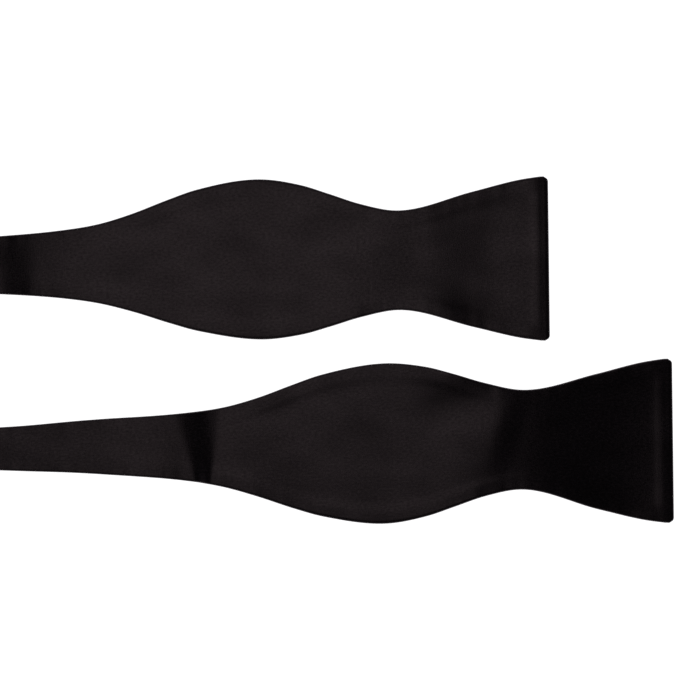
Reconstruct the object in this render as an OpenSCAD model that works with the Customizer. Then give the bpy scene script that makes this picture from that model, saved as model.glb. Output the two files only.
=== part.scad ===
// Self-tie bow tie, untied: two butterfly blades lying face up side by side,
// their neckband running left, turned round on its edge and hooked shut.
// X runs along the blades, Y across them, Z up. The tie lies on the plane z = 0.

/* [Blade pattern] */
// Width of the flared end
end_w = 66; // [56:0.2:76]
// Width of the waist, where the bow is folded
waist_w = 39.4; // [30:0.2:46]
// Distance from the end to the waist
waist_at = 60; // [50:1:75]
// Width of the round bulge behind the waist
bulge_w = 63.6; // [54:0.2:72]
// Distance from the end to the widest part of the bulge
bulge_at = 115; // [100:1:140]
// Width where the blade has become a strap
neck_w = 26.4; // [20:0.2:32]
// Distance from the end to the start of the strap
neck_at = 196; // [180:1:210]
// Distance from the end at which the strap is as narrow as the band
band_at = 300; // [280:1:320]
// Radius of the sewn corners of the flared end
corner_r = 2.5; // [1:0.1:4]

/* [Cloth] */
// Thickness of one satin face
satin_t = 0.45; // [0.3:0.05:0.6]
// Thickness of the interlining and of the adjuster tape
core_t = 0.7; // [0.5:0.05:1]
// How far the interlining stays inside the edge
core_inset = 1.5; // [1.2:0.1:3]
// Thickness of the sewing thread
thread_t = 0.3; // [0.2:0.05:0.4]
// Width of the neckband and of the adjuster tape
band_w = 15; // [12:0.5:18]

/* [Layout] */
// Distance between the centre lines of the two blades
row_gap = 73.4; // [70:0.2:90]
// How much further the hook blade reaches than the eye blade
tip_offset = 48.7; // [20:0.1:80]
// Length of the hook half, from its end to where the tape leaves it
strap_len = 280; // [270:1:300]
// From the end of the strap to the slider
slider_at = 22; // [20:1:30]
// Length of the doubled tape, from the slider to the hook
doubled = 60; // [56:1:80]
// Length over which the band turns from flat to standing on its edge
twist_len = 45; // [40:1:70]
// Flat end of the eye half, before the band starts to turn
end_run = 20; // [18:1:30]

/* [Metal fittings] */
// Thickness of the metal plates
metal_t = 1; // [0.8:0.1:1.2]
// Radius of the round bars that carry tape
bar_r = 0.6; // [0.5:0.05:0.7]
// Width of the side arms
arm_w = 1.6; // [1.2:0.1:2.4]
// Clearance between the tape's edge and an arm
side_gap = 0.3; // [0.2:0.05:0.6]
// Distance between the two bars of a fitting
pitch = 12; // [11:0.5:16]
// Length of the slider along the band
slider_l = 14; // [13:0.5:18]
// Width of the hook's tongue
tongue_w = 6; // [4:0.5:9]
// Length of the hook's tongue
tongue_l = 4.5; // [3.5:0.5:6]

/* [Label] */
// Length of the woven label
label_l = 40; // [24:1:50]
// Width of the woven label
label_w = 10; // [8:0.5:12]

/* [Hidden] */
$fn = 32;

satin = "#211e22";
canvas = "#cfc9b8";
thread = "#131215";
nickel = "#b9b9bd";
label_cloth = "#2b2a30";

ply = 0.05;                                    // air between two plies
slack = 0.1;                                   // play between a bar and what goes round it
core_z = satin_t + ply;                        // underside of the core, above the back
tie_t = 2 * core_z + core_t;                   // whole thickness of a blade
hem_r = 0.5;                                   // thread centre line, in from the edge

// Heights in the adjuster: the return lies lowest, the run on it, the slider on both.
run_z = core_t + slack;
slider_z = run_z + core_t + slack;
slider_bar_z = slider_z + metal_t / 2;
slider_eye_r = metal_t / 2 + slack;
over_z = slider_bar_z + slider_eye_r + core_t + slack;

// Heights in the hook: tongue on the table, mouth above it, plate above the mouth.
mouth_r = bar_r + slack;
mouth_z = metal_t + mouth_r;
plate_z = mouth_z + mouth_r;
hook_bar_z = plate_z + metal_t / 2;
fold_r = mouth_r + core_t;

// Places along the band, from the end of the hook blade.
slider_x = -strap_len - slider_at;
hook_x = slider_x - doubled;
mouth_x = hook_x - pitch;
eye_x = mouth_x - pitch;
eye_strap_x = eye_x - pitch;
turn_x = eye_strap_x - end_run - twist_len;
turn_r = row_gap / 2;
hook_y = -row_gap / 2;
tuck = 12;                                     // length of tape sewn inside a strap
mid_x = (turn_x - turn_r - tie_t) / 2;         // middle of the whole length

// Lengths along the eye half, from the end of its blade.
eye_flat = -turn_x - twist_len - tip_offset;
eye_turn = eye_flat + twist_len;
eye_back = eye_turn + PI * turn_r;
eye_level = eye_back + twist_len;
eye_len = eye_level + end_run;

function mix(a, b, t) = a + (b - a) * t;
function ease(t) = (1 - cos(180 * max(0, min(1, t)))) / 2;

// The pattern: distance from the end, and the full width there.
PATTERN = [
    [0, end_w],
    [0.2 * waist_at, mix(waist_w, end_w, 0.87)],
    [0.5 * waist_at, mix(waist_w, end_w, 0.54)],
    [waist_at, waist_w],
    [mix(waist_at, bulge_at, 0.27), mix(waist_w, bulge_w, 0.22)],
    [mix(waist_at, bulge_at, 0.5), mix(waist_w, bulge_w, 0.55)],
    [mix(waist_at, bulge_at, 0.7), mix(waist_w, bulge_w, 0.82)],
    [bulge_at, bulge_w],
    [mix(bulge_at, neck_at, 0.31), mix(neck_w, bulge_w, 0.8)],
    [mix(bulge_at, neck_at, 0.45), mix(neck_w, bulge_w, 0.61)],
    [mix(bulge_at, neck_at, 0.63), mix(neck_w, bulge_w, 0.335)],
    [mix(bulge_at, neck_at, 0.8), mix(neck_w, bulge_w, 0.13)],
    [neck_at, neck_w],
    [mix(neck_at, band_at, 0.3), mix(band_w, neck_w, 0.6)],
    [mix(neck_at, band_at, 0.7), mix(band_w, neck_w, 0.16)],
    [band_at, band_w],
];

// Slope of the pattern between two stations, and at one: level at a waist or a bulge.
function chord(i) = (PATTERN[i + 1][1] - PATTERN[i][1]) / (PATTERN[i + 1][0] - PATTERN[i][0]);
function slope(i) = i == 0 ? chord(0)
    : i >= len(PATTERN) - 1 || chord(i - 1) * chord(i) <= 0 ? 0
    : (chord(i - 1) + chord(i)) / 2;
function station(d, i = 0) = i < len(PATTERN) - 2 && d > PATTERN[i + 1][0] ? station(d, i + 1) : i;
function cubic(a, b, run, t) =
    (2 * t ^ 3 - 3 * t ^ 2 + 1) * a[0] + (t ^ 3 - 2 * t ^ 2 + t) * run * a[1]
    + (3 * t ^ 2 - 2 * t ^ 3) * b[0] + (t ^ 3 - t ^ 2) * run * b[1];
function pattern_w(d) = d >= band_at ? band_w
    : let (i = station(d), a = PATTERN[i], b = PATTERN[i + 1])
      cubic([a[1], slope(i)], [b[1], slope(i + 1)], b[0] - a[0], (d - a[0]) / (b[0] - a[0]));

// Half the width at distance d from the end, with the end's corners rounded.
function half_w(d) = pattern_w(d) / 2
    - (d < corner_r ? corner_r - sqrt(corner_r ^ 2 - (corner_r - d) ^ 2) : 0);

// Soft waves in the lying cloth: [distance of the crest from the end, reach of the side
// towards the end, reach of the side towards the strap, height].
HOOK_WAVES = [
    [73, 69, 92, 2.9], [73, 13, 30, 0.45], [110, 55, 50, 0.4], [181, 88, 14, 1.4], [188, 90, 18, 0.5],
];
EYE_WAVES = [[-3, 4, 29, 0.55], [66, 54, 60, 0.7], [203, 60, 20, 0.75]];
// How far the lying blades drift sideways from a straight line, in the same form.
HOOK_DRIFT = [[75, 50, 58, 1.5], [163, 40, 42, -0.6], [235, 40, 30, 0.4]];
EYE_DRIFT = [[125, 62, 62, 1.1]];
function wave(d, w) = let (reach = d < w[0] ? w[1] : w[2])
    abs(d - w[0]) < reach ? w[3] * (1 + cos(180 * (d - w[0]) / reach)) / 2 : 0;
function add(list, i = 0) = i < len(list) ? list[i] + add(list, i + 1) : 0;
function lift(eye, d) = add([for (w = eye ? EYE_WAVES : HOOK_WAVES) wave(d, w)]);
function drift(eye, d) = add([for (w = eye ? EYE_DRIFT : HOOK_DRIFT) wave(d, w)]);

// The band's centre line. Turn: how far round the bend. Roll: 0 flat, 90 on its edge.
function bend(eye, d) = !eye ? 0 : max(0, min(180, (d - eye_turn) / turn_r * 180 / PI));
function roll(eye, d) = !eye ? 0
    : d < eye_back ? 90 * ease((d - eye_flat) / twist_len)
    : 90 * ease((eye_level - d) / twist_len);
function centre(eye, d) = !eye ? [-d, hook_y + drift(false, d)]
    : d < eye_turn ? [-tip_offset - d, turn_r + drift(true, d)]
    : d < eye_back ? [turn_x - turn_r * sin(bend(eye, d)), turn_r * cos(bend(eye, d))]
    : [turn_x + d - eye_back, -turn_r];

// A point of the tie: d along it, v across it, h up through its thickness.
function on_tie(eye, d, v, h) =
    let (a = 180 + bend(eye, d), r = roll(eye, d), c = centre(eye, d), out = h * sin(r) - v * cos(r))
    [c[0] + out * sin(a), c[1] - out * cos(a), half_w(d) * sin(r) + v * sin(r) + h * cos(r) + lift(eye, d)];

// Rings along a half: close in the blade and where the band turns, wide on the strap.
function every(from, to, step) = let (n = max(1, ceil((to - from) / step)))
    [for (i = [0 : n - 1]) from + (to - from) * i / n];
BLADE_STEP = 5;
STRAP_STEP = 12;
EDGE_STEP = 3;
TWIST_STEP = 4;
CORNER = [0, 0.3 * corner_r, 0.7 * corner_r];
HOOK_RINGS = concat(CORNER, every(corner_r, neck_at + 24, BLADE_STEP),
    every(neck_at + 24, strap_len, STRAP_STEP), [strap_len]);
EYE_RINGS = concat(CORNER, every(corner_r, neck_at + 48, BLADE_STEP),
    every(neck_at + 48, eye_flat, STRAP_STEP), every(eye_flat, eye_turn, TWIST_STEP),
    every(eye_turn, eye_back, EDGE_STEP), every(eye_back, eye_level, TWIST_STEP), [eye_level, eye_len]);
function rings(eye, from, to) = concat([from],
    [for (d = eye ? EYE_RINGS : HOOK_RINGS) if (d > from + 0.1 && d < to - 0.1) d], [to]);

// A closed strip of cloth between heights h0 and h1, with a row of points along it at each
// column. A column is [share of the half width, offset].
module strip(eye, stops, columns, h0, h1) {
    n = len(stops);
    m = len(columns);
    ring = 2 * m;
    points = [for (d = stops) let (w = half_w(d), row = [for (c = columns) c[0] * w + c[1]])
        each concat([for (v = row) on_tie(eye, d, v, h0)],
            [for (k = [m - 1 : -1 : 0]) on_tie(eye, d, row[k], h1)])];
    // Both broad faces are cut along the same diagonal, so the cloth keeps its thickness.
    walls = [for (i = [0 : n - 2], k = [0 : ring - 1])
        let (a = ring * i + k, b = ring * i + (k + 1) % ring, c = b + ring, d = a + ring)
        each k < m ? [[a, b, c], [a, c, d]] : [[a, b, d], [b, c, d]]];
    cap = [for (k = [0 : m - 2]) [k, k + 1, ring - 2 - k, ring - 1 - k]];
    last = ring * (n - 1);
    polyhedron(points, concat([for (q = cap) [q[3], q[2], q[1], q[0]]], walls, [for (q = cap) [for (k = q) last + k]]));
}

// A satin face has a column of points over each edge of the interlining, so the two stay parallel.
module face_of(eye, to, h0, h1) {
    strip(eye, rings(eye, 0, to), [[-1, 0], [-1, core_inset], [1, -core_inset], [1, 0]], h0, h1);
}

module interlining_of(eye, to) {
    strip(eye, rings(eye, core_inset, to), [[-1, core_inset], [1, -core_inset]], core_z, core_top);
}

module seam_of(eye, to) {
    h = tie_t / 2 - thread_t / 2;
    stops = rings(eye, 2 * hem_r, to);
    for (side = [-1, 1])
        strip(eye, stops, [[side, -hem_r * side - thread_t / 2], [side, -hem_r * side + thread_t / 2]],
            h, h + thread_t);
    strip(eye, [hem_r - thread_t / 2, hem_r + thread_t / 2],
        [[-1, hem_r + thread_t], [1, -hem_r - thread_t]], h, h + thread_t);
}

// Everything is drawn from the end of the hook blade and then centred along X.
module place() {
    translate([-mid_x, 0, 0]) children();
}

// A side view in X and Z, made as wide as w across the band.
module across(w) {
    translate([0, hook_y + w / 2, 0]) rotate([90, 0, 0]) linear_extrude(w) children();
}

// Tape laid along a line of [x, underside z].
module tape(line) {
    across(band_w) polygon(concat(line, [for (i = [len(line) - 1 : -1 : 0]) line[i] + [0, core_t]]));
}

module disc(x, z, r, w) {
    translate([x, hook_y + w / 2, z]) rotate([90, 0, 0]) cylinder(h = w, r = r);
}

module block(x0, x1, y0, y1, z0, z1) {
    translate([x0, hook_y + y0, z0]) cube([x1 - x0, y1 - y0, z1 - z0]);
}

// Both side arms of a fitting, just outside the tape.
module arms(x0, x1, z0, z1) {
    inner = band_w / 2 + side_gap;
    for (side = [-1, 1])
        block(x0, x1, min(side * inner, side * (inner + arm_w)), max(side * inner, side * (inner + arm_w)), z0, z1);
}

// A box of stitching sewn through a strap: two rows across and two along it.
module box_stitch(x0, x1, z) {
    w = band_w / 2 - 1.5;
    for (x = [x0, x1 - thread_t]) block(x, x + thread_t, -w, w, z, z + thread_t / 2);
    for (y = [-w, w - thread_t]) block(x0 + 2 * thread_t, x1 - 2 * thread_t, y, y + thread_t, z, z + thread_t / 2);
}

fit_w = band_w + 2 * side_gap + 2 * arm_w;     // width of a metal fitting
core_top = core_z + core_t;
front_z = core_top + ply;

module hook_half_front() color(satin) place() face_of(false, strap_len, front_z, tie_t);
module hook_half_back() color(satin) place() face_of(false, strap_len, 0, satin_t);
module hook_half_interlining() color(canvas) place() interlining_of(false, strap_len - tuck - 1);
module hook_half_seam() color(thread) place() seam_of(false, strap_len - tuck - 1);

module eye_half_front() color(satin) place() face_of(true, eye_len, front_z, tie_t);
module eye_half_back() color(satin) place() face_of(true, eye_len, 0, satin_t);
module eye_half_interlining() color(canvas) place() interlining_of(true, eye_len - tuck - 1);
module eye_half_seam() color(thread) place() seam_of(true, eye_len - tuck - 1);

// The tape leaves the strap and passes under, over and under the slider's bars.
leg = 2;                                       // straight leg of the fold
bar_in = slider_l / 2 - 1.5;                   // inner edge of the slider's end bars
over_end = slider_l / 2 + 1;                   // where the tape is flat again beside the slider
module tape_inlet() color(satin) place() tape([
    [slider_x + over_end + ply, run_z], [slider_x + over_end + 2, run_z],
    [-strap_len - 1.5, core_z], [-strap_len + tuck, core_z],
]);

module tape_over_bar() color(satin) place() tape([
    [slider_x - over_end, run_z], [slider_x - bar_in + 0.2, run_z], [slider_x - 1.6, over_z],
    [slider_x + 1.6, over_z], [slider_x + bar_in - 0.2, run_z], [slider_x + over_end, run_z],
]);

// From the slider the tape runs on to the top of the fold round the hook's bar.
module tape_run() color(satin) place() tape([
    [hook_x + leg + ply, hook_bar_z + mouth_r], [hook_x + 3, hook_bar_z + mouth_r],
    [hook_x + 14, run_z], [slider_x - over_end - ply, run_z],
]);

// It returns under the run, from the fold to the loop that is sewn round the slider's bar.
loop_end = 4;                                  // where the return meets the loop
module tape_return() color(satin) place() tape([
    [hook_x + leg + ply, hook_bar_z - fold_r], [hook_x + 9, 0], [slider_x - loop_end - ply, 0],
]);

module tape_fold() color(satin) place() difference() {
    union() {
        disc(hook_x, hook_bar_z, fold_r, band_w);
        block(hook_x, hook_x + leg, -band_w / 2, band_w / 2, hook_bar_z - fold_r, hook_bar_z + fold_r);
    }
    disc(hook_x, hook_bar_z, mouth_r, band_w + 2);
    block(hook_x, hook_x + leg + 1, -band_w, band_w, hook_bar_z - mouth_r, hook_bar_z + mouth_r);
}

module tape_join_stitches() color(thread) place()
    box_stitch(-strap_len + 2, -strap_len + tuck - 2, tie_t + 0.01);

module slider_frame() color(nickel) place() {
    end_z = slider_z + metal_t;
    arms(slider_x - slider_l / 2, slider_x + slider_l / 2, slider_z, end_z);
    for (side = [-1, 1]) {
        a = side * bar_in;
        b = side * slider_l / 2;
        block(slider_x + min(a, b), slider_x + max(a, b), -fit_w / 2, fit_w / 2, slider_z, end_z);
    }
    disc(slider_x, slider_bar_z, metal_t / 2, fit_w);
}

module slider_loop() color(satin) place() difference() {
    union() {
        disc(slider_x, slider_bar_z, slider_eye_r + core_t, band_w);
        across(band_w) polygon([
            [slider_x, run_z], [slider_x - loop_end, 0], [slider_x - loop_end, core_t],
            [slider_x - slider_eye_r - core_t / 2, slider_bar_z], [slider_x, slider_bar_z],
        ]);
    }
    disc(slider_x, slider_bar_z, slider_eye_r, band_w + 2);
}

module hook() color(nickel) place() {
    top = plate_z + metal_t;
    shoulder = hook_x - pitch / 2 + 1.5;       // where the arms meet the plate
    disc(hook_x, hook_bar_z, bar_r, fit_w);
    arms(shoulder, hook_x, plate_z, top);
    block(shoulder - 2.5, shoulder, -fit_w / 2, fit_w / 2, plate_z, top);
    block(mouth_x - bar_r, shoulder - 2.5, -tongue_w / 2, tongue_w / 2, plate_z, top);
    block(mouth_x - bar_r, mouth_x - bar_r + tongue_l, -tongue_w / 2, tongue_w / 2, 0, metal_t);
    difference() {
        disc(mouth_x - bar_r, mouth_z, mouth_r + metal_t, tongue_w);
        disc(mouth_x - bar_r, mouth_z, mouth_r, tongue_w + 2);
        block(mouth_x - bar_r, mouth_x + 5, -tongue_w, tongue_w, -1, top + 1);
    }
}

module eye_ring() color(nickel) place() {
    for (x = [mouth_x, eye_x]) disc(x, mouth_z, bar_r, fit_w);
    arms(eye_x, mouth_x, mouth_z - bar_r, mouth_z + bar_r);
}

module eye_loop_tape() color(satin) place() {
    low = mouth_z - fold_r;                    // underside of the folded tape
    high = low + 2 * core_t + slack;
    difference() {
        union() {
            disc(eye_x, mouth_z, fold_r, band_w);
            across(band_w) polygon([
                [eye_x, low], [eye_strap_x + ply, low], [eye_strap_x + ply, high],
                [eye_x - 4.5, high], [eye_x - 0.6, mouth_z + fold_r - 0.1], [eye_x, mouth_z],
            ]);
        }
        disc(eye_x, mouth_z, mouth_r, band_w + 2);
    }
    block(eye_strap_x - tuck, eye_strap_x + ply, -band_w / 2 + 1, band_w / 2 - 1, core_z, core_top);
}

module eye_loop_stitches() color(thread) place() {
    top = mouth_z - fold_r + 2 * core_t + slack + 0.01;
    for (x = [eye_x - 6, eye_x - 7.2])
        block(x - thread_t, x, -band_w / 2 + 1.5, band_w / 2 - 1.5, top, top + thread_t / 2);
}

module eye_join_stitches() color(thread) place()
    box_stitch(eye_strap_x - tuck + 2, eye_strap_x - 2, tie_t + 0.01);

// The label lies on the inner face of the band, at the back of the neck.
label_d = (eye_turn + eye_back) / 2;
label_t = 0.3;
module neck_label() color(label_cloth) place()
    strip(true, rings(true, label_d - label_l / 2, label_d + label_l / 2),
        [[0, -label_w / 2], [0, label_w / 2]], -2 * ply - label_t, -2 * ply);

module neck_label_stitches() color(thread) place()
    for (side = [-1, 1]) {
        d = label_d + side * (label_l / 2 - 1);
        strip(true, [d - thread_t / 2, d + thread_t / 2], [[0, 0.8 - label_w / 2], [0, label_w / 2 - 0.8]],
            -4 * ply - label_t - thread_t / 2, -4 * ply - label_t);
    }

hook_half_front();
hook_half_back();
hook_half_interlining();
hook_half_seam();
eye_half_front();
eye_half_back();
eye_half_interlining();
eye_half_seam();
tape_inlet();
tape_over_bar();
tape_run();
tape_return();
tape_fold();
tape_join_stitches();
slider_frame();
slider_loop();
hook();
eye_ring();
eye_loop_tape();
eye_loop_stitches();
eye_join_stitches();
neck_label();
neck_label_stitches();
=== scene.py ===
# %% [markdown]
# # A black satin bow tie, untied
# A self-tie bow tie is two halves of the same pattern. Each half is two satin faces sewn together
# inside out, turned, and filled with a woven interlining. The halves meet behind the neck, where a
# hook on one and an eye on the other close the band, and a slider sets its length.
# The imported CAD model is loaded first. It fixes where every piece goes and how it moves.

# %% Load the frame
import math

import bpy
import numpy as np
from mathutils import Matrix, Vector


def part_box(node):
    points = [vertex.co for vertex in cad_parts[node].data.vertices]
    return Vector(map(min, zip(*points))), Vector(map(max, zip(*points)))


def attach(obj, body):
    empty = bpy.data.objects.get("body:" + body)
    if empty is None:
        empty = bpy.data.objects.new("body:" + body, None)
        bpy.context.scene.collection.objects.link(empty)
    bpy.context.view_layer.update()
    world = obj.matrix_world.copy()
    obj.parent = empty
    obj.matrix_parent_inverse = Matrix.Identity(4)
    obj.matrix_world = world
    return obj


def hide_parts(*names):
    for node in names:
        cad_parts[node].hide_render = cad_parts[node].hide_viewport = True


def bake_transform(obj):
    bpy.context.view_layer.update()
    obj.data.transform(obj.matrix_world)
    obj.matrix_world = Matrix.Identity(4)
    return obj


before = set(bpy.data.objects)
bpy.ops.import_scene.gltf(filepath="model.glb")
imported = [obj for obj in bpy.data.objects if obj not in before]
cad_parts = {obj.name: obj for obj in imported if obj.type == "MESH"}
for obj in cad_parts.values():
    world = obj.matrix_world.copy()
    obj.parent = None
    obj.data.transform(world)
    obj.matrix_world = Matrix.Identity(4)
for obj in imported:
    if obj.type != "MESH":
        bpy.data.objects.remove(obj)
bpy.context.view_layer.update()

MM = 0.001

# %% [markdown]
# ## The camera and the light
# The tie lies flat and is seen from straight above. A long lens a long way up keeps its outline true.
# Black satin is seen almost only by what it reflects, so the light is the subject here. One soft box
# overhead is what the flat cloth reflects. The room above is dark round the box, so cloth that tilts
# by some degrees goes dark, and that draws the folds. The room is bright low down, all round.

# %% Camera
VIEW_WIDTH = 280 * MM            # what the camera takes in, across
CAMERA_HEIGHT = 1400 * MM
SENSOR = 36.0                    # mm, Blender's own width for a full frame
ROWS_TILT = math.radians(0.7)    # the blades climb this much to the right
FROM_TIP = 128.4 * MM            # the middle of the view, back from the end of the hook blade
FROM_ROW = 37.8 * MM             # and beside the hook blade's centre line

hook_lo, hook_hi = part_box("hook_half_front")
eye_lo, eye_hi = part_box("eye_half_front")
HOOK_TIP_X, HOOK_Y = hook_hi[0], (hook_lo[1] + hook_hi[1]) / 2
view_centre = (HOOK_TIP_X - FROM_TIP, HOOK_Y + FROM_ROW)

camera_data = bpy.data.cameras.new("camera")
camera_data.sensor_width = SENSOR
camera_data.lens = SENSOR * CAMERA_HEIGHT / VIEW_WIDTH
camera_data.clip_start = 0.01
camera_data.clip_end = 20
camera = bpy.data.objects.new("camera", camera_data)
bpy.context.collection.objects.link(camera)
camera.location = (view_centre[0], view_centre[1], CAMERA_HEIGHT)
camera.rotation_euler = (0, 0, -ROWS_TILT)
bpy.context.scene.camera = camera
print("lens", round(camera_data.lens, 1), "mm at", CAMERA_HEIGHT, "m")

# %% The overhead box and the room
scene = bpy.context.scene
scene.view_settings.view_transform = "Standard"
BOX_SIZE = (0.59, 0.85)          # metres
BOX_HEIGHT = 1.9
BOX_SHIFT = (-0.125, 0.16)       # the box stands a little left of the camera and behind it
BOX_RADIANCE = 0.53

box_data = bpy.data.lights.new("overhead soft box", "AREA")
box_data.shape = "RECTANGLE"
box_data.size, box_data.size_y = BOX_SIZE
box_data.energy = BOX_RADIANCE * math.pi * BOX_SIZE[0] * BOX_SIZE[1]
soft_box = bpy.data.objects.new("overhead soft box", box_data)
soft_box.location = (view_centre[0] + BOX_SHIFT[0], view_centre[1] + BOX_SHIFT[1], BOX_HEIGHT)
bpy.context.collection.objects.link(soft_box)


def linear(hex_colour):
    """sRGB hex to linear RGBA: c / 12.92 near black, ((c + 0.055) / 1.055) ** 2.4 above."""
    parts = [int(hex_colour[i:i + 2], 16) / 255 for i in (1, 3, 5)]
    return tuple(c / 12.92 if c <= 0.04045 else ((c + 0.055) / 1.055) ** 2.4 for c in parts) + (1.0,)


def add_node(tree, kind, at=(0, 0), inputs=None, links=None, **settings):
    """Adds one node: its settings, the values of its sockets, and the links into them."""
    node = tree.nodes.new(kind)
    node.location = at
    for key, value in settings.items():
        setattr(node, key, value)
    for key, value in (inputs or {}).items():
        node.inputs[key].default_value = value
    for key, source in (links or {}).items():
        tree.links.new(source, node.inputs[key])
    return node


ROOM_DARK, ROOM_BRIGHT = linear("#16151a"), linear("#c9ccd2")
room = bpy.data.worlds.new("studio room")
room.use_nodes = True
sky = room.node_tree
direction = add_node(sky, "ShaderNodeTexCoord", (-800, 0))
up = add_node(sky, "ShaderNodeSeparateXYZ", (-600, 0), links={0: direction.outputs["Generated"]})
towards_top = add_node(sky, "ShaderNodeMapRange", (-400, 0), interpolation_type="SMOOTHSTEP",
                       inputs={"From Min": 0.25, "From Max": 0.9}, links={"Value": up.outputs["Z"]})
shade = add_node(sky, "ShaderNodeMix", (-200, 0), data_type="RGBA",
                 inputs={6: ROOM_BRIGHT, 7: ROOM_DARK}, links={0: towards_top.outputs["Result"]})
sky.links.new(shade.outputs[2], sky.nodes["Background"].inputs["Color"])
scene.world = room
print("overhead box", BOX_SIZE, "m wide,", round(box_data.energy, 2), "W")

# %% [markdown]
# ## The light table
# The tie lies on a sheet of white acrylic lit from below. It is what gives a black thing a clean
# white ground with no shadow, and its light can't reach the upper face of cloth that lies on it.

# %% Light table


def new_material(name, **shader_values):
    """A material with one Principled shader, its plain values set on its own sockets."""
    material = bpy.data.materials.new(name)
    material.use_nodes = True
    tree = material.node_tree
    shader = tree.nodes["Principled BSDF"]
    for key, value in shader_values.items():
        shader.inputs[key.replace("_", " ")].default_value = value
    return material, tree, shader


TABLE_SIZE = 6.0                 # metres
TABLE_GLOW = 1.0
table_z = -0.1 * MM
opal, _, _ = new_material("opal acrylic sheet", Base_Color=linear("#f4f4f4"), Roughness=0.8,
                          Emission_Color=linear("#ffffff"), Emission_Strength=TABLE_GLOW)
corner = TABLE_SIZE / 2
table_mesh = bpy.data.meshes.new("light table")
table_mesh.from_pydata([(x, y, table_z) for x, y in
                        ((-corner, -corner), (corner, -corner), (corner, corner), (-corner, corner))],
                       [], [(0, 1, 2, 3)])
table_mesh.materials.append(opal)
table = bpy.data.objects.new("light table", table_mesh)
bpy.context.collection.objects.link(table)
print("table top at", table_z / MM, "mm")

# %% [markdown]
# ## The pattern
# Both halves are cut from one paper pattern. From the end it narrows to a waist, where the bow is
# folded, swells to a round bulge, and falls away to a strap that keeps narrowing until it is the band.
# A drafter marks a few stations and joins them with a smooth line. Here the line is a cubic between
# stations, level at the waist and at the bulge so that it never overshoots them.

# %% The outline of a half
END_W = 66.0 * MM
WAIST_W, WAIST_AT = 39.4 * MM, 60 * MM
BULGE_W, BULGE_AT = 63.6 * MM, 115 * MM
NECK_W, NECK_AT = 26.4 * MM, 196 * MM
BAND_W, BAND_AT = 15 * MM, 300 * MM
CORNER_R = 2.5 * MM


def mix(a, b, t):
    return a + (b - a) * t


STATIONS = np.array([
    (0, END_W),
    (0.2 * WAIST_AT, mix(WAIST_W, END_W, 0.87)),
    (0.5 * WAIST_AT, mix(WAIST_W, END_W, 0.54)),
    (WAIST_AT, WAIST_W),
    (mix(WAIST_AT, BULGE_AT, 0.27), mix(WAIST_W, BULGE_W, 0.22)),
    (mix(WAIST_AT, BULGE_AT, 0.5), mix(WAIST_W, BULGE_W, 0.55)),
    (mix(WAIST_AT, BULGE_AT, 0.7), mix(WAIST_W, BULGE_W, 0.82)),
    (BULGE_AT, BULGE_W),
    (mix(BULGE_AT, NECK_AT, 0.31), mix(NECK_W, BULGE_W, 0.8)),
    (mix(BULGE_AT, NECK_AT, 0.45), mix(NECK_W, BULGE_W, 0.61)),
    (mix(BULGE_AT, NECK_AT, 0.63), mix(NECK_W, BULGE_W, 0.335)),
    (mix(BULGE_AT, NECK_AT, 0.8), mix(NECK_W, BULGE_W, 0.13)),
    (NECK_AT, NECK_W),
    (mix(NECK_AT, BAND_AT, 0.3), mix(BAND_W, NECK_W, 0.6)),
    (mix(NECK_AT, BAND_AT, 0.7), mix(BAND_W, NECK_W, 0.16)),
    (BAND_AT, BAND_W),
])
chords = np.diff(STATIONS[:, 1]) / np.diff(STATIONS[:, 0])
turning = chords[:-1] * chords[1:] <= 0
slopes = np.concatenate([chords[:1], np.where(turning, 0, (chords[:-1] + chords[1:]) / 2), [0]])


def half_width(d):
    """Half the width at distance d from the end: a cubic Hermite curve through the stations,
    less the rounding r - sqrt(r^2 - (r - d)^2) at the end's corners."""
    s = np.clip(d, 0, BAND_AT)
    i = np.clip(np.searchsorted(STATIONS[:, 0], s, side="right") - 1, 0, len(STATIONS) - 2)
    run = STATIONS[i + 1, 0] - STATIONS[i, 0]
    t = (s - STATIONS[i, 0]) / run
    width = ((2 * t**3 - 3 * t**2 + 1) * STATIONS[i, 1] + (t**3 - 2 * t**2 + t) * run * slopes[i]
             + (3 * t**2 - 2 * t**3) * STATIONS[i + 1, 1] + (t**3 - t**2) * run * slopes[i + 1])
    short = np.clip(CORNER_R - d, 0, CORNER_R)
    return width / 2 - (CORNER_R - np.sqrt(CORNER_R**2 - short**2))


print("half widths in mm:", (half_width(np.array([3, 60, 115, 196, 300]) * MM) / MM).round(1))

# %% [markdown]
# ## How the halves lie
# The hook half lies straight. The eye half runs left, rolls up onto its edge, turns round in a half
# circle as a stiff band does, rolls down again and comes back to the hook. A point of either half is
# given by d along it, v across it and h up through its thickness, so one function lays all the cloth.
# The cloth isn't quite flat: it rises and falls in a few soft waves, steep on one side.

# %% Laying the cloth
TIE_T = 1.7 * MM
TWIST = 45 * MM
END_RUN = 20 * MM
EYE_TIP_X, EYE_Y = eye_hi[0], -HOOK_Y
TURN_R = EYE_Y
TURN_X = eye_lo[0] + TURN_R + TIE_T
EYE_FLAT = EYE_TIP_X - TURN_X - TWIST
EYE_TURN = EYE_FLAT + TWIST
EYE_BACK = EYE_TURN + math.pi * TURN_R
EYE_LEVEL = EYE_BACK + TWIST
EYE_LEN = EYE_LEVEL + END_RUN
HOOK_LEN = HOOK_TIP_X - hook_lo[0]

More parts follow.
